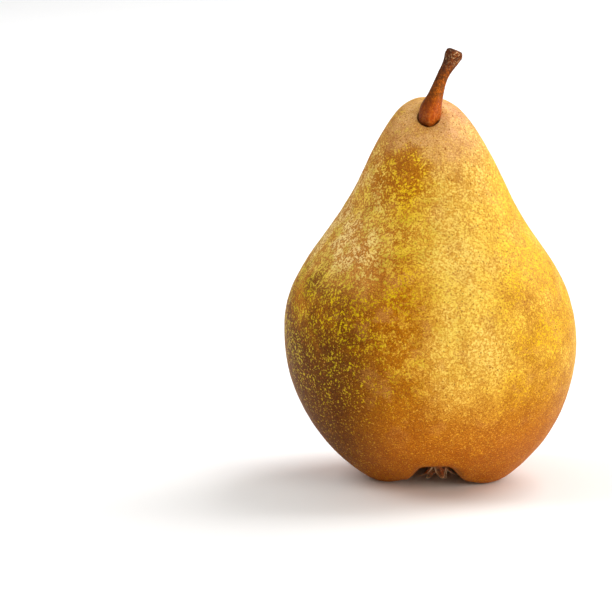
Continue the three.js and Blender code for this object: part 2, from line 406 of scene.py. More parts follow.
def rimLiftAt(angle):
    lift = 0 * angle
    for centre, height, width in skin["rimLifts"]:
        away = np.abs((np.degrees(angle) - centre + 180) % 360 - 180)
        lift = lift + height * np.exp(-((away / width) ** 2))
    return lift


def skinPoints(t, angle):
    # the surface in mm: t runs from the middle of the base, 0, to the crown, 1
    radius, height, right, back = np.moveaxis(blendRows(skinRows, t), -1, 0)
    ribCount, ribSwell, ribReach = skin["ribs"]
    lobeCount, lobeSwell, lobeTwist, lobeTurn = skin["lobes"]
    ribs = ribSwell * np.exp(-((height / ribReach) ** 2)) * np.cos(ribCount * (angle + math.pi / 2))
    lobes = lobeSwell * np.cos(lobeCount * angle + lobeTwist * height + lobeTurn)
    x = radius * (1 + ribs + lobes) * np.cos(angle) + right
    y = radius * (1 + ribs + lobes) * np.sin(angle) * skin["depthRatio"] + back
    rimRadius, rimReach = skin["rim"]
    dipMiddle, dipHeight, dipHalf, dipPower, dipFade = skin["dip"]
    dipRadius, dipInside, dipOutside = skin["dipAcross"]
    dip = dipHeight * np.exp(-(np.abs((x - dipMiddle) / dipHalf) ** dipPower))
    dip = dip * easeBetween(0, dipFade, -y)
    dip *= np.exp(-(((radius - dipRadius) / np.where(radius < dipRadius, dipInside, dipOutside)) ** 2))
    lifted = height + np.exp(-(((radius - rimRadius) / rimReach) ** 2)) * rimLiftAt(angle) + dip
    seatX, seatY, seatDepth, seatReach = skin["seat"]
    collarHeight, collarRadius, collarReach = skin["collar"]
    away = np.hypot(x - seatX, y - seatY)
    seated = (height - seatDepth * np.exp(-((away / seatReach) ** 2))
              + collarHeight * np.exp(-(((away - collarRadius) / collarReach) ** 2)))
    return np.stack([x, y, np.where(t < 0.5, lifted, seated)], -1)


def outOfStem(points):
    # distance of each point from the surface of the stem's lower part, less than 0 inside it
    lowerPart, steps = 0.6, 60
    nearest = np.full(points.shape[:-1], np.inf)
    for x, y, z, radius in blendRows(stemRows, np.linspace(0, lowerPart, steps)):
        away = np.linalg.norm(points - np.array([x, y, z]), axis=-1) - radius
        nearest = np.minimum(nearest, away)
    return nearest


def makeSkin(material):
    rows, sides = skin["rows"], skin["sides"]
    t, angle = np.meshgrid(np.arange(1, rows) / rows, anglesRound(sides), indexing="ij")
    points = skinPoints(t, angle)
    middle = (points.reshape(-1, 3).max(0) + points.reshape(-1, 3).min(0)) / 2
    # every unevenness goes inwards, so the skin never leaves the solid's own outline
    core = skin["coreHeight"]
    outward = points - np.array([0.0, 0.0, core]) * np.minimum(1, points[..., 2:] / core)
    outward /= np.linalg.norm(outward, axis=-1, keepdims=True)
    dents = (1 + roughAt(points, skin["dentSize"], seeds["dents"], 2)) * skin["dents"]
    crinkle = (1 + roughAt(points, skin["crinkleSize"], seeds["crinkle"])) * skin["crinkle"]
    aboveGround = easeBetween(0, skin["footFade"], points[..., 2])
    points = points - outward * ((dents + crinkle) * aboveGround)[..., None]
    # the crease where the stem goes in, and the hole the calyx cup sits in
    tight, loose, creaseDepth, creasePush = skin["crease"]
    crown = points[..., 2] > skin["crownFrom"]
    fromStem = outOfStem(points)
    seatX, seatY = skin["seat"][:2]
    towards = np.stack([points[..., 0] - seatX, points[..., 1] - seatY], -1)
    nearZero = 0.01
    facing = towards @ np.array(skin["creaseFront"]) / (np.linalg.norm(towards, axis=-1) + nearZero)
    gap = tight + (loose - tight) * easeBetween(*skin["creaseTurn"], facing)
    crease = crown * (1 - easeBetween(gap - skin["creaseWidth"], gap, fromStem))
    points[..., 1] += creasePush * crease
    points[..., 2] -= creaseDepth * crease
    holeStart, holeEnd, holeDepth = skin["cupHole"]
    nearGround = points[..., 2] < skin["baseUpTo"]
    fromCup = np.hypot(points[..., 0] - calyx["place"][0], points[..., 1] - calyx["place"][1])
    points[..., 2] += holeDepth * nearGround * (1 - easeBetween(holeStart, holeEnd, fromCup))
    points[..., 2] = np.maximum(points[..., 2], 0)
    sectionRadius = blendRows(skinRows, t)[..., 0]
    # painted highlight: a pale band on the rim over the dip in front
    markHalf, markPower, markRadius, markReach = skin["rimHighlightMark"]
    inFront = (t < 0.5) * (points[..., 1] < 0)
    overDip = inFront * np.exp(-((points[..., 0] - skin["dip"][0]) / markHalf) ** markPower)
    marks = {
        "paintedRimHighlight": overDip * np.exp(-(((sectionRadius - markRadius) / markReach) ** 2)),
        "stemShade": crown * (1 - easeBetween(*skin["shadeByStem"], fromStem - gap)),
        "stemRing": crown * (1 - easeBetween(*skin["ringByStem"], fromStem)),
        "cupShade": nearGround * (1 - easeBetween(*skin["shadeByCup"], fromCup)),
    }
    marks = {label: np.append(values.ravel(), [values[0].mean(), values[-1].mean()])
             for label, values in marks.items()}
    start, end = points[0].mean(0), points[-1].mean(0)
    shift = np.array([middle[0], middle[1], 0])     # the skin's middle goes over the origin
    piece = makePiece("pear_skin", [makeLoft(points - shift, start - shift, end - shift)],
                      material, marks)
    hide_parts("pear_body")
    return shift


# stem

stem = {
    # centre line from the buried root to the cut tip, and radius, in mm
    "line": [
        (-1.5, -4.9, 89, 1.4), (-1.5, -6.2, 90.3, 2.2), (-1.4, -7.3, 91.9, 2.8), (-1.1, -8.1, 93.9, 2.8),
        (-0.4, -8.9, 96, 2.2), (0.3, -9.3, 98, 1.8), (1.1, -9.3, 100.4, 1.5), (2, -9.1, 102.6, 1.4),
        (3.1, -8.8, 104.4, 1.55), (4, -8.5, 106, 1.9), (4.5, -8.3, 107.2, 2.35), (4.8, -8.2, 108, 2.3),
        (5, -8.1, 108.5, 1.7)],
    "rows": 150, "sides": 64,
    "ridges": (5, 0.06, 2),             # how many, how much, twist
    "knobs": (3, 0.1, 0.72, 1),         # how many, how much, where they start, turn
    "bark": 0.13, "barkSize": 0.55,     # woody relief
    "barkStretch": 0.22,                # long ridges: the height counts this much
    "barkShare": (0.35, 1.3),           # of the relief everywhere, and more on the knob
    "lumps": 0.16, "lumpSize": 1.1,
    "ragged": (0.35, 1.5, 0.15, 0.7),   # cut rim: roughness, its size, depth, greatest depth
    "pithDepth": 0.5,
    "pithRings": ((0.9, 0.06), (0.72, 0.2), (0.5, 0.34), (0.28, 0.5)),  # width, share of the depth
    "pithRough": (0.12, 0.5, 0.08),     # roughness, its size, depth
    # painted shade on the stem's left side
    "paintedSideShade": (0.1, 0.95, 0.3),       # cosines between which the left darkens, turn
}


def beyond(end, inner):
    # the row past the end of a line, as far from it as the row before
    return tuple(2 * a - b for a, b in zip(end, inner))


stemRows = ([beyond(stem["line"][0], stem["line"][1])] + stem["line"]
            + [beyond(stem["line"][-1], stem["line"][-2])])


def makeStem(material, shift):
    rows, sides = stem["rows"], stem["sides"]
    t = np.linspace(0, 1, rows)
    line = blendRows(stemRows, t)
    centres = line[:, :3]
    directions = directionsAlong(centres)
    angle = anglesRound(sides)
    ridgeCount, ridgeSwell, ridgeTwist = stem["ridges"]
    knobCount, knobSwell, knobStart, knobTurn = stem["knobs"]
    knob = easeBetween(knobStart, 1, t)[:, None]
    swell = (1 + ridgeSwell * np.cos(ridgeCount * angle[None, :] + ridgeTwist * t[:, None])
             + knob * knobSwell * np.cos(knobCount * angle[None, :] + knobTurn))
    radii = line[:, 3:] * swell
    rings = ringsAcross(centres, directions, radii, sides)
    # long bark ridges, deeper towards the knob, again only inwards
    squeezed = rings * np.array([1, 1, stem["barkStretch"]])
    relief = 1 + roughAt(squeezed, stem["barkSize"], seeds["bark"], 4)
    lumps = 1 + roughAt(rings, stem["lumpSize"], seeds["lumps"])
    everywhere, onKnob = stem["barkShare"]
    depth = stem["bark"] * (everywhere + onKnob * knob)
    radii = radii - depth * relief - stem["lumps"] * knob * lumps
    rings = ringsAcross(centres, directions, radii, sides)
    # the cut end: a ragged rim round a sunken pith
    along, tip = directions[-1], centres[-1]
    roughness, size, cutDepth, deepest = stem["ragged"]
    ragged = roughness * roughAt(rings[-1], size, seeds["ragged"])
    rings[-1] -= along * np.clip(cutDepth - ragged, 0, deepest)[:, None]
    roughness, size, cutDepth = stem["pithRough"]
    ends = []
    for share, sunk in stem["pithRings"]:
        ring = tip + (rings[-1] - tip) * share - along * sunk * stem["pithDepth"]
        ring += along * (roughness * roughAt(ring, size, seeds["pith"]))[:, None] - along * cutDepth
        ends.append(ring)
    rings = np.concatenate([rings, np.array(ends)])
    end = tip - along * stem["pithDepth"]
    darkStart, darkFull, darkTurn = stem["paintedSideShade"]
    paintedSideShade = np.tile(easeBetween(darkStart, darkFull, -np.cos(angle - darkTurn)), len(rings))
    piece = makePiece("stem_bark", [makeLoft(rings - shift, centres[0] - shift, end - shift)],
                      material, {"paintedSideShade": np.append(paintedSideShade, [0, 0])})
    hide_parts("stem")


# calyx

calyx = {
    "place": (1.3, -10.2, 4.35), "lean": 20,
    "cup": (2.9, 2.1, 3, 0.5, 0.9),     # outer and inner radius, root, lip, depth of the bowl
    "cupRough": (0.12, 0.7), "cupSides": 60,    # unevenness and its size
    # turn, length, half width at the root, flare of the tip
    "sepals": [(14, 4.3, 1.7, 1.7), (78, 2.8, 1.8, 2.9), (148, 3.2, 1.7, 1.6), (218, 3.2, 1.6, 1.8),
               (292, 3.4, 1.8, 2.9)],
    "sepalRadius": 2.4, "sepalThick": 0.4, "sepalTip": 0.25, "sepalCup": 0.5,
    "sepalBend": 0.18, "sepalSunk": 0.2,        # how the tip bends up, how deep the root sits
    "sepalTaper": 1.3, "thinEdge": 0.75, "thinTip": 0.4,    # how much thinner margin and tip are
    # crumples and notches: size, share at the root, more at the tip, then how each axis counts
    "crumple": (1.1, 0.06, 0.3), "crumpleGrain": (0.25, 1, 1),
    "notch": (0.7, 0.04, 0.16), "notchGrain": (0, 0.3, 1),
    "paleSides": (0.72, 0.95), "paleTip": (0.86, 1), "paleFrom": 0.1,   # shares of width and length
    "sepalRows": 26, "sepalAcross": 17,
    "stamens": 10, "stamenRing": 1.3, "filament": 0.2, "anther": 0.4, "lengths": (2.2, 2.7, 2.4),
    "stamenRows": 14, "stamenSides": 10,
    "stamenSpread": 0.36, "stamenTwist": 0.25, "stamenStray": 0.2,
    "stamenRough": (0.2, 0.4),          # roughness and its size
    "antherPlace": (0.9, 0.1),          # middle and reach of the swollen end along the stamen
    "style": (2, 0.4, 0.05),            # length, radius, distance from the middle
}


def placeCalyx(parts, shift):
    # leans the parts to the front and sets them into the basin
    lean = math.radians(-calyx["lean"])
    turn = np.array([[1, 0, 0],
                     [0, math.cos(lean), -math.sin(lean)],
                     [0, math.sin(lean), math.cos(lean)]])
    return [(points @ turn.T + np.array(calyx["place"]) - shift, faces) for points, faces in parts]


def makeCup():
    # radius and height of each ring, from the bowl over the lip to the root
    outer, inner, root, lip, bowl = calyx["cup"]
    outline = [(0.2, bowl - lip), (inner * 0.5, bowl - lip - 0.05), (inner * 0.8, bowl - lip - 0.3),
               (inner, 0.1 - lip), (inner + 0.2, -lip - 0.05), (outer - 0.25, -lip - 0.05),
               (outer, 0.1 - lip), (outer, root * 0.6), (outer * 0.7, root), (0.3, root)]
    angle = anglesRound(calyx["cupSides"])
    rings = np.array([[(r * math.cos(a), r * math.sin(a), z) for a in angle] for r, z in outline])
    unevenness, size = calyx["cupRough"]
    rings[..., 2] += unevenness * (1 + roughAt(rings, size, seeds["cup"]))
    return makeLoft(rings, (0, 0, bowl - lip + 0.1), (0, 0, root))


def makeSepal(turn, length, half, flare, seed):
    rows, across = calyx["sepalRows"], calyx["sepalAcross"]
    s = np.linspace(0, 1, rows)
    w = np.linspace(-1, 1, across)
    out = calyx["sepalRadius"] + flare * s ** 2
    down = -length * (s - calyx["sepalBend"] * s ** 3) + calyx["sepalSunk"]
    width = half + (calyx["sepalTip"] - half) * s ** calyx["sepalTaper"]
    loop = [(x, 1) for x in w[::-1]] + [(x, -1) for x in w]
    rings = []
    for k in range(rows):
        ring = []
        for x, face in loop:
            edge = calyx["sepalCup"] * (x * width[k] / half) ** 2
            thick = calyx["sepalThick"] / 2 * (1 - calyx["thinEdge"] * x ** 4)
            thick *= 1 - calyx["thinTip"] * s[k]
            ring.append((out[k] + face * thick - edge, x * width[k], down[k]))
        rings.append(ring)
    rings = np.array(rings)[:, ::-1]
    # dry edges curl and crumple, more so towards the tip
    size, atRoot, more = calyx["crumple"]
    crumple = roughAt(rings * calyx["crumpleGrain"], size, seed) * (atRoot + more * s)[:, None]
    size, atRoot, more = calyx["notch"]
    notch = roughAt(rings * calyx["notchGrain"], size, seed + 3) * (atRoot + more * s)[:, None]
    rings[..., 0] += crumple
    rings[..., 1] *= 1 + notch
    a = math.radians(turn - 90)
    spin = np.array([[math.cos(a), -math.sin(a), 0], [math.sin(a), math.cos(a), 0], [0, 0, 1]])
    rings = rings @ spin.T
    return makeLoft(rings, rings[0].mean(0), rings[-1].mean(0))


def sepalEdge():
    # 1 along the margin and the tip of a sepal, 0 inside it, in the order of its points
    s = np.linspace(0, 1, calyx["sepalRows"])[:, None]
    w = np.linspace(-1, 1, calyx["sepalAcross"])
    loop = np.abs(np.concatenate([w[::-1], w]))[::-1][None, :]
    edge = np.maximum(easeBetween(*calyx["paleSides"], loop) * (s > calyx["paleFrom"]),
                      easeBetween(*calyx["paleTip"], s) + 0 * loop)
    return np.append(edge.ravel(), [0, 1])


def makeStamen(ringRadius, angle, length, radius, endRadius, seed):
    sides = calyx["stamenSides"]
    s = np.linspace(0, 1, calyx["stamenRows"])
    lean = ringRadius * (1 + calyx["stamenSpread"] * s)
    turn = angle + calyx["stamenTwist"] * math.sin(seed * 2.7) * s
    centres = np.stack([lean * np.cos(turn), lean * np.sin(turn), calyx["cup"][4] - length * s], -1)
    directions = directionsAlong(centres)
    swellMiddle, swellReach = calyx["antherPlace"]
    swell = np.exp(-(((s - swellMiddle) / swellReach) ** 2))
    radii = np.tile((radius + (endRadius - radius) * swell)[:, None], (1, sides))
    roughness, size = calyx["stamenRough"]
    radii *= 1 + roughness * roughAt(ringsAcross(centres, directions, radii, sides), size, seed, 2)
    rings = ringsAcross(centres, directions, radii, sides)
    return makeLoft(rings, centres[0], centres[-1])


def makeCalyx(material, shift):
    cup = makePiece("calyx_cup", placeCalyx([makeCup()], shift), material)
    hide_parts("calyx")
    leaves = [makeSepal(*sepal, seed) for seed, sepal in enumerate(calyx["sepals"], seeds["sepals"])]
    makePiece("calyx_sepals", placeCalyx(leaves, shift), material,
              {"leafEdge": np.tile(sepalEdge(), len(leaves))})
    threads = []
    for i in range(calyx["stamens"]):
        angle = 2 * math.pi * i / calyx["stamens"] + calyx["stamenStray"] * math.sin(5 * i)
        length = calyx["lengths"][i % len(calyx["lengths"])]
        threads.append(makeStamen(calyx["stamenRing"], angle, length, calyx["filament"],
                                  calyx["anther"], seeds["stamens"] + i))
    length, radius, offMiddle = calyx["style"]
    threads.append(makeStamen(offMiddle, 0, length, radius, radius, seeds["style"]))
    makePiece("calyx_stamens", placeCalyx(threads, shift), material)


# materials
# a range reads: from, to, and the amounts at both (0 and 1 where left out), in mm for places
# a noise reads: scale per mm, detail, roughness, distortion; clouds hold a noise and a range

russet = {
    "yellow": colour(244, 212, 104), "gold": colour(236, 196, 22), "olive": colour(196, 172, 0),
    "cream": colour(250, 222, 146), "amber": colour(214, 150, 24), "honey": colour(212, 152, 50),
    "cinnamon": colour(174, 106, 4), "rose": colour(200, 138, 66), "shadowUmber": colour(96, 52, 0),
    "base": colour(180, 102, 18), "tan": colour(222, 172, 108), "pink": colour(226, 172, 122),
    "spot": colour(146, 80, 20), "speck": colour(232, 170, 60), "shade": colour(58, 26, 10),
    "leftSide": (4, -12), "seatPlace": (-0.7, -8.1, 92),
    "blotchNoise": (1 / 11, 3, 0.55, 0.6), "patchNoise": (1 / 2.4, 2, 0.55, 0.4),
    # how much russet there is
    "coverStart": 0.14, "coverByBlotch": (0.36, 0.64, 0.24, 0.36),
    "coverByPatch": (0.34, 0.66, -0.08, 0.08), "patchOnLeft": (0, 1, 0.8, 1.9),
    "coverBelow": (38, 6, 0, 0.38), "coverAbove": (66, 92, 0, 0.2), "coverAtBack": (0, 30, 0, 0.12),
    "coverOnLeft": (6, -14, 0, 0.14), "coverLeftBelow": (62, 46, 0.1, 1),
    # zones: a band of painted core shade left of the front, the lower right, a painted shadow on the lower
    # left flank, a patch on the neck
    "bandStart": (4, -5), "bandEnd": (-26, -14), "bandBelow": (62, 50, 0.15, 1),
    "bandCover": 0.07, "bandAmber": 0.6,
    "rightSide": (10, 26), "rightBelow": (62, 48), "rightCover": 0.17, "rightAmber": 0.12,
    "flankSide": (-7, -25, 0, 0.95), "flankBelow": (58, 36), "flankFront": (8, -14, 0.2, 1),
    "flankUneven": 44, "flankCover": 0.12, "flankOlive": 0.7,
    "neckPlace": (-7.3, -14, 79), "neckReach": (10, 4, 0, 0.85), "neckNoise": (0.3, 3),
    "neckUneven": 12, "neckCover": 0.05,
    # the net of russet and the flecks left open in it
    "fleckNoise": (1 / 0.56, 3, 0.62, 0.3), "cellSize": 0.8,
    "netByNoise": (0.3, 0.7, 0, 0.75), "netByCell": (0.75, 0.1, 0, 0.25),
    "netBar": (0, 1, 0.19, 0.84), "netContrast": (0, 1, 0.62, 1), "netEdge": (0.12, -0.1),
    # ground colours
    "oliveClouds": ((0.13, 3), (0.42, 0.58)), "oliveSide": (12, -14, 0, 0.6), "oliveOnLeft": 0.25,
    "goldClouds": ((0.08, 2), (0.4, 0.6, -0.25, 0.25)), "goldSide": (8, 24, 0, 0.85), "goldOnLeft": 0.8,
    "creamClouds": ((0.16, 2), (0.4, 0.56, 0.3, 1)), "creamSide": (-7, -20, 0, 0.9),
    "creamAbove": (49, 60), "amberBelow": (36, 15, 0, 0.9),
    # russet colours
    "thickByCover": (0.45, 0.85, 0, 0.9), "thickOnLeft": 0.6,
    "roseClouds": ((0.17, 3), (0.52, 0.66, 0, 0.6)), "roseSide": (-7, -20, 0, 0.6),
    "roseAbove": (44, 56), "groundShare": (0, 1, 0.16, 0), "baseBelow": (32, 8),
    # tan round the stem
    "tanReach": (19, 5), "tanClouds": ((0.22, 3), (0.35, 0.65, 0.6, 1)), "tanOffNeck": (0, 1, 1, 0.1),
    "tanOnGround": 0.85, "pinkSide": (-1, 6),
    # finer things
    "mottling": ((0.2, 3), (0.38, 0.68, 0, 0.22)), "grainShare": 0.5,
    "grain": {"Size": 0.3, "Stretch": 1, "Contrast": 0.6},
    "specks": {"Spacing": 0.85, "Spot Size": 0.19, "Wobble": 0.7}, "speckByCover": (0.35, 0.75, 0, 0.6),
    "spots": {"Spacing": 1.15, "Spot Size": 0.22, "Wobble": 0.6},
    "spotClouds": ((0.35, 2), (0.3, 0.55, 0.2, 0.85)), "spotBySeat": (17, 9, 0, 0.85),
    "rimHighlightShare": 0.75, "ringShare": 0.15, "cupShade": 0.85,
    "roughness": (0, 1, 0.42, 0.52), "grainRoughness": 0.08, "specular": 0.08,
    "netRelief": 0.35, "spotRelief": 0.8, "relief": (0.5, 0.04),        # strength, depth in mm
}


def skinZones(tree, position):
    # what steers the layers of the skin: places on it, a slow noise, and the masks of its zones
    side, depth, height = splitPlace(tree, position)
    blotch = noiseAt(tree, position, *russet["blotchNoise"])
    # painted shade: a band left of the front where the core shade falls between the lit sides
    coreShadeBand = product(tree, ramp(tree, side, *russet["bandStart"]), ramp(tree, side, *russet["bandEnd"]),
                   ramp(tree, height, *russet["bandBelow"]))
    lowRight = product(tree, ramp(tree, side, *russet["rightSide"]),
                       ramp(tree, height, *russet["rightBelow"]))
    # painted shadow on the lower left flank, strongest towards the front
    unevenHeight = shaken(tree, height, blotch, russet["flankUneven"])
    paintedFlankShadow = product(tree, ramp(tree, side, *russet["flankSide"]),
                      ramp(tree, unevenHeight, *russet["flankBelow"]),
                      ramp(tree, depth, *russet["flankFront"]))
    fromNeck = shaken(tree, distanceTo(tree, position, russet["neckPlace"]),
                      noiseAt(tree, position, *russet["neckNoise"]), russet["neckUneven"])
    return {
        "position": position, "side": side, "depth": depth, "height": height, "blotch": blotch,
        "leftness": ramp(tree, side, *russet["leftSide"]),
        "fromSeat": distanceTo(tree, position, russet["seatPlace"]),
        "coreShadeBand": coreShadeBand, "lowRight": lowRight, "paintedFlankShadow": paintedFlankShadow,
        "neck": ramp(tree, fromNeck, *russet["neckReach"]),
    }


def russetCover(tree, at):
    # how much russet covers the ground colour: heavy at the base, patchy on the left, thin in front, more
    # in the painted shade band and the painted flank shadow
    patch = noiseAt(tree, at["position"], *russet["patchNoise"])
    return total(
        tree,
        ramp(tree, at["blotch"], *russet["coverByBlotch"]),
        product(tree, ramp(tree, patch, *russet["coverByPatch"]),
                ramp(tree, at["leftness"], *russet["patchOnLeft"])),
        ramp(tree, at["height"], *russet["coverBelow"]),
        ramp(tree, at["height"], *russet["coverAbove"]),
        product(tree, ramp(tree, at["side"], *russet["coverOnLeft"]),
                ramp(tree, at["height"], *russet["coverLeftBelow"])),
        ramp(tree, at["depth"], *russet["coverAtBack"]),
        product(tree, at["coreShadeBand"], russet["bandCover"]),
        product(tree, at["lowRight"], russet["rightCover"]),
        product(tree, at["paintedFlankShadow"], russet["flankCover"]),
        product(tree, at["neck"], russet["neckCover"]),
        russet["coverStart"], clamp=True)


def russetNet(tree, at, cover):
    # 1 on the fine net of russet, 0 on the small uneven flecks of ground colour left open in it
    fine = noiseAt(tree, at["position"], *russet["fleckNoise"])
    cells = addNode(tree, "ShaderNodeTexVoronoi", feature="F1")
    plug(tree, at["position"], cells.inputs["Vector"])
    cells.inputs["Scale"].default_value = 1 / russet["cellSize"]
    net = total(tree, ramp(tree, fine, *russet["netByNoise"]),
                ramp(tree, cells.outputs["Distance"], *russet["netByCell"]))
    above = product(tree, math2(tree, "SUBTRACT", net, ramp(tree, cover, *russet["netBar"])),
                    ramp(tree, at["leftness"], *russet["netContrast"]))
    return ramp(tree, above, *russet["netEdge"])


def groundTone(tree, at):
    # pale yellow in front, gold and olive clusters on the left, gold on the right, amber at the base and in
    # the painted shade band
    olivePatch = cloudMask(tree, at["position"], *russet["oliveClouds"])
    greenness = total(tree, product(tree, at["leftness"], russet["oliveOnLeft"]),
                      product(tree, olivePatch, ramp(tree, at["side"], *russet["oliveSide"])))
    goldness = total(tree, product(tree, at["leftness"], russet["goldOnLeft"]),
                     ramp(tree, at["side"], *russet["goldSide"]),
                     cloudMask(tree, at["position"], *russet["goldClouds"]), clamp=True)
    # cream flecks on the upper left shoulder, partly the skin's own and partly painted sheen
    creamFlecksAndSheen = product(tree, cloudMask(tree, at["position"], *russet["creamClouds"]),
                     ramp(tree, at["side"], *russet["creamSide"]),
                     ramp(tree, at["height"], *russet["creamAbove"]))
    return paintOver(tree, russet["yellow"], [
        (goldness, russet["gold"]),
        (product(tree, at["coreShadeBand"], russet["bandAmber"]), russet["amber"]),
        (greenness, russet["olive"]),
        (at["neck"], russet["gold"]),
        (product(tree, at["lowRight"], russet["rightAmber"]), russet["amber"]),
        (creamFlecksAndSheen, russet["cream"]),
        (ramp(tree, at["height"], *russet["amberBelow"]), russet["amber"])])


def russetTone(tree, at, cover, ground):
    # honey where it is thin, cinnamon or rosy where it is thick, redder at the base, umber in the painted
    # shadow on the lower left flank
    # deeper cinnamon on the left: partly the russet's own colour, partly painted shade on the side away
    # from the key lamp
    thick = total(tree, ramp(tree, cover, *russet["thickByCover"]),
                  product(tree, at["leftness"], russet["thickOnLeft"]), clamp=True)
    shoulder = product(tree, ramp(tree, at["side"], *russet["roseSide"]),
                       ramp(tree, at["height"], *russet["roseAbove"]))
    rosy = math2(tree, "MAXIMUM", cloudMask(tree, at["position"], *russet["roseClouds"]), shoulder)
    return paintOver(tree, russet["honey"], [
        (thick, russet["cinnamon"]),
        (rosy, russet["rose"]),
        (ramp(tree, at["leftness"], *russet["groundShare"]), ground),
        (at["neck"], russet["cinnamon"]),
        (ramp(tree, at["height"], *russet["baseBelow"]), russet["base"]),
        (at["paintedFlankShadow"], russet["shadowUmber"])])


def skinTone(tree, at, cover, net):
    # ground and russet together, with tan round the stem, pinkish on its right
    ground = groundTone(tree, at)
    tone = russetTone(tree, at, cover, ground)
    tanMask = product(tree, ramp(tree, at["fromSeat"], *russet["tanReach"]),
                      cloudMask(tree, at["position"], *russet["tanClouds"]),
                      ramp(tree, at["neck"], *russet["tanOffNeck"]))
    tanTone = mixColours(tree, ramp(tree, at["side"], *russet["pinkSide"]), russet["tan"], russet["pink"])
    ground = paintOver(tree, ground, [
        # olive ground in the painted shadow on the lower left flank
        (product(tree, at["paintedFlankShadow"], russet["flankOlive"]), russet["olive"]),
        (product(tree, tanMask, russet["tanOnGround"]), tanTone)])
    return mixColours(tree, net, ground, mixColours(tree, tanMask, tone, tanTone))


def makeSkinMaterial():
    material, tree, shader, position = startMaterial("russetSkin")
    at = skinZones(tree, position)
    cover = russetCover(tree, at)
    net = russetNet(tree, at, cover)
    grain = placeGroup(tree, fineGrain, position, russet["grain"])
    specks = placeGroup(tree, scatteredSpots, position, russet["specks"])
    spots = placeGroup(tree, scatteredSpots, position, russet["spots"])
    spotShare = math2(tree, "MAXIMUM", cloudMask(tree, position, *russet["spotClouds"]),
                      ramp(tree, at["fromSeat"], *russet["spotBySeat"]))
    shade = math2(tree, "MAXIMUM", readMark(tree, "stemShade"),
                  product(tree, readMark(tree, "cupShade"), russet["cupShade"]))
    tone = paintOver(tree, skinTone(tree, at, cover, net), [
        # soft clouds and fine mottling
        (cloudMask(tree, position, *russet["mottling"]), russet["cinnamon"], "MULTIPLY"),
        (russet["grainShare"], grain, "SOFT_LIGHT"),
        # pale specks where the russet is thick, and brown breathing spots
        (product(tree, specks, ramp(tree, cover, *russet["speckByCover"])), russet["speck"]),
        (product(tree, spots, spotShare), russet["spot"]),
        # painted highlight on the rim over the calyx, brown skin round the stem, painted shade in the
        # crease there and round the calyx
        (product(tree, readMark(tree, "paintedRimHighlight"), russet["rimHighlightShare"]), russet["pink"]),
        (product(tree, readMark(tree, "stemRing"), russet["ringShare"]), russet["spot"]),
        (shade, russet["shade"])])
    plug(tree, tone, shader.inputs["Base Color"])
    # russet is duller and slightly raised, the ground is waxy
    rough = total(tree, ramp(tree, net, *russet["roughness"]),
                  product(tree, grain, russet["grainRoughness"]))
    plug(tree, rough, shader.inputs["Roughness"])
    shader.inputs["Specular IOR Level"].default_value = russet["specular"]
    height = total(tree, product(tree, net, russet["netRelief"]), grain,
                   product(tree, spots, russet["spotRelief"]))
    addRelief(tree, shader, height, *russet["relief"])
    arrangeNodes(tree)
    return material


bark = {
    "root": colour(170, 70, 0), "middle": colour(136, 74, 4), "top": colour(112, 56, 26),
    "ember": colour(214, 108, 10), "cream": colour(230, 190, 136), "dark": colour(46, 20, 8),
    "peel": colour(214, 132, 60),
    "streaks": {"Size": 0.5, "Stretch": 5, "Contrast": 0.5},
    "grain": {"Size": 0.26, "Stretch": 1.5, "Contrast": 0.7},
    "middleFrom": (94, 99), "topFrom": (98.5, 105), "streakShare": (94, 102, 0.2, 0.5),
    "emberShare": (101, 106, 0.9, 0.35), "emberClouds": ((1.1, 3, 0.6), (0.42, 0.58, 0.1, 1)),
    "peelClouds": ((1.9, 3, 0.6, 0.3), (0.5, 0.62, 0, 0.6)), "peelBelow": (96, 91.5),
    "scarAndHighlightClouds": ((2.4, 3, 0.6, 0.4), (0.53, 0.63, 0, 0.8)), "scarsAndHighlightAbove": (103, 107.5),
    "pitClouds": ((1.3, 4, 0.65, 0.6), (0.47, 0.36, 0, 0.85)), "pitsAbove": (101, 107),
    "tipPlace": (5.5, -8.2, 108.6), "tipShade": (1.5, 0.5, 0, 0.8),
    "foldPlace": (-1, -6.4, 90), "foldShade": (4.4, 2.6, 0, 0.6), "sideShade": 0.6,
    "roughness": (95, 105, 0.34, 0.7), "specular": 0.12,
    "grainRelief": 0.6, "relief": (0.6, 0.1),       # strength, depth in mm
}


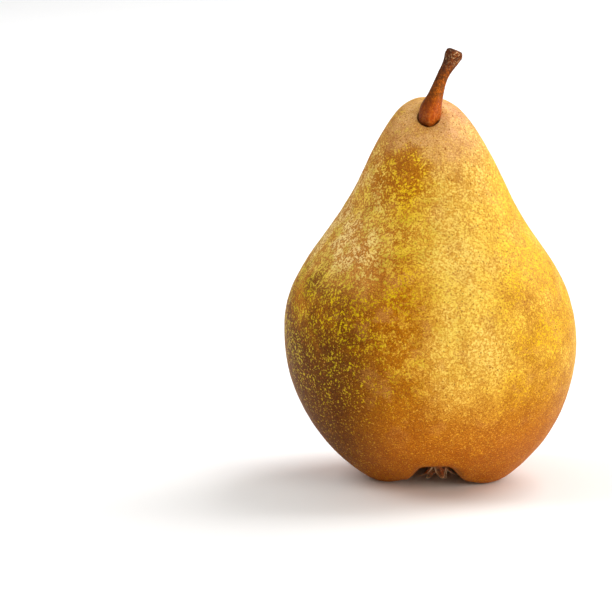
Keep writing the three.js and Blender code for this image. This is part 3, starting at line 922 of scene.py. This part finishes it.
def makeStemMaterial():
    material, tree, shader, position = startMaterial("stemBark")
    height = splitPlace(tree, position)["Z"]
    streaks = placeGroup(tree, fineGrain, position, bark["streaks"])
    grain = placeGroup(tree, fineGrain, position, bark["grain"])
    fromTip = distanceTo(tree, position, bark["tipPlace"])
    fromFold = distanceTo(tree, position, bark["foldPlace"])
    tone = paintOver(tree, bark["root"], [
        # orange bulb, brown neck, dark knob
        (ramp(tree, height, *bark["middleFrom"]), bark["middle"]),
        (ramp(tree, height, *bark["topFrom"]), bark["top"]),
        (product(tree, streaks, ramp(tree, height, *bark["streakShare"])), bark["dark"]),
        (product(tree, ramp(tree, height, *bark["emberShare"]),
                 cloudMask(tree, position, *bark["emberClouds"]), grain), bark["ember"]),
        # tan flecks low on the root; on the knob cream flecks, partly pale scars and partly painted
        # highlight, and black pits
        (product(tree, cloudMask(tree, position, *bark["peelClouds"]),
                 ramp(tree, height, *bark["peelBelow"])), bark["peel"]),
        (product(tree, cloudMask(tree, position, *bark["scarAndHighlightClouds"]),
                 ramp(tree, height, *bark["scarsAndHighlightAbove"])), bark["cream"]),
        (product(tree, cloudMask(tree, position, *bark["pitClouds"]),
                 ramp(tree, height, *bark["pitsAbove"])), bark["dark"]),
        # the cut tip, the fold at the root and the left side are darkest; at the fold and on the left side
        # this is painted shade
        (ramp(tree, fromTip, *bark["tipShade"]), bark["dark"]),
        (ramp(tree, fromFold, *bark["foldShade"]), bark["dark"]),
        (product(tree, readMark(tree, "paintedSideShade"), bark["sideShade"]), bark["dark"])])
    plug(tree, tone, shader.inputs["Base Color"])
    plug(tree, ramp(tree, height, *bark["roughness"]), shader.inputs["Roughness"])
    shader.inputs["Specular IOR Level"].default_value = bark["specular"]
    relief = total(tree, streaks, product(tree, grain, bark["grainRelief"]))
    addRelief(tree, shader, relief, *bark["relief"])
    arrangeNodes(tree)
    return material


husk = {
    "dark": colour(64, 36, 18), "brown": colour(172, 114, 64), "rust": colour(186, 100, 50),
    "edge": colour(236, 210, 172),
    "grain": {"Size": 0.4, "Stretch": 3, "Contrast": 0.6},
    "spots": {"Spacing": 0.9, "Spot Size": 0.16, "Wobble": 0.4}, "spotShare": 0.4,
    "cloudNoise": (0.6, 2), "rustByCloud": (0.5, 0.65, 0, 0.6), "edgeByCloud": (0.38, 0.55, 0.25, 0.95),
    "roughness": (0, 1, 0.6, 0.85), "relief": (0.5, 0.1),       # strength, depth in mm
}


def makeCalyxMaterial():
    material, tree, shader, position = startMaterial("driedCalyx")
    grain = placeGroup(tree, fineGrain, position, husk["grain"])
    spots = placeGroup(tree, scatteredSpots, position, husk["spots"])
    cloud = noiseAt(tree, position, *husk["cloudNoise"])
    tone = paintOver(tree, husk["dark"], [
        (grain, husk["brown"]),
        (ramp(tree, cloud, *husk["rustByCloud"]), husk["rust"]),
        (product(tree, spots, husk["spotShare"]), husk["edge"]),
        # thin pale margins
        (product(tree, readMark(tree, "leafEdge"), ramp(tree, cloud, *husk["edgeByCloud"])), husk["edge"])])
    plug(tree, tone, shader.inputs["Base Color"])
    plug(tree, ramp(tree, grain, *husk["roughness"]), shader.inputs["Roughness"])
    addRelief(tree, shader, grain, *husk["relief"])
    arrangeNodes(tree)
    return material


shift = makeSkin(makeSkinMaterial())
print("skin made")
makeStem(makeStemMaterial(), shift)
print("stem made")
makeCalyx(makeCalyxMaterial(), shift)
print("calyx made")


# stage: floor, lights, camera

studio = {
    "floorSize": 8.0, "floorColour": (0.93, 0.93, 0.93, 1), "floorRoughness": 0.8,
    "floorGap": 0.00005, "sky": 0.2,    # the floor lies this far under the pear
    "eyeDistance": 0.9, "eyeHeight": 10.0, "frameWidth": 0.1546,
    "aim": (-0.0316, 0.0427),           # frame centre: right of the pear's axis, and up the picture
    # name, place, aim, size, power, colour
    "lamps": [
        ("keyLamp", (0.92, -0.85, 0.5), (0, 0, 0.045), 0.7, 7.9, (1, 0.96, 0.88)),
        ("topLamp", (0, 0.3, 1.25), (0, 0, 0.045), 1.0, 2.6, (1, 1, 1)),
        ("backLamp", (1.0, 0.9, 1.1), (0, 1.0, 0), 1.5, 36, (1, 1, 1)),
        ("sideLamp", (-0.9, 0.1, 1.05), (0, 0, 0.07), 0.8, 8, (1, 1, 1)),
        ("lowLamp", (0.1, -1.05, 0.25), (0, 0, 0.02), 0.5, 2.0, (1, 0.84, 0.62)),
    ],
}


def makeStage():
    mesh = bpy.data.meshes.new("floor")
    half = studio["floorSize"] / 2
    corners = [(-half, -half, 0), (half, -half, 0), (half, half, 0), (-half, half, 0)]
    mesh.from_pydata(corners, [], [(0, 1, 2, 3)])
    material = bpy.data.materials.new("paleFloor")
    material.use_nodes = True
    surface = material.node_tree.nodes["Principled BSDF"]
    surface.inputs["Base Color"].default_value = studio["floorColour"]
    surface.inputs["Roughness"].default_value = studio["floorRoughness"]
    mesh.materials.append(material)
    floor = bpy.data.objects.new("floor", mesh)
    floor.location.z = -studio["floorGap"]
    bpy.context.scene.collection.objects.link(floor)
    world = bpy.data.worlds.new("softSky")
    world.use_nodes = True
    sky = world.node_tree.nodes["Background"]
    sky.inputs["Color"].default_value = (1, 1, 1, 1)
    sky.inputs["Strength"].default_value = studio["sky"]
    bpy.context.scene.world = world
    for name, place, aim, size, power, tint in studio["lamps"]:
        light = bpy.data.lights.new(name, "AREA")
        light.shape, light.size, light.energy, light.color = "SQUARE", size, power, tint
        lamp = bpy.data.objects.new(name, light)
        lamp.location = place
        lamp.rotation_euler = (Vector(aim) - Vector(place)).to_track_quat("-Z", "Y").to_euler()
        bpy.context.scene.collection.objects.link(lamp)
    bpy.context.scene.view_settings.view_transform = "Standard"


def makeCamera(shift):
    lens = bpy.data.cameras.new("eye")
    lens.lens = lens.sensor_width * studio["eyeDistance"] / studio["frameWidth"]
    camera = bpy.data.objects.new("eye", lens)
    tilt = math.radians(studio["eyeHeight"])
    along = Vector((0, math.cos(tilt), -math.sin(tilt)))
    upward = Vector((0, math.sin(tilt), math.cos(tilt)))
    right, up = studio["aim"]
    aim = Vector((right - shift[0] * mm, -shift[1] * mm, 0)) + upward * up
    camera.location = aim - along * studio["eyeDistance"]
    camera.rotation_euler = (math.pi / 2 - tilt, 0, 0)
    bpy.context.scene.collection.objects.link(camera)
    bpy.context.scene.camera = camera


makeStage()
makeCamera(shift)
print("stage made")
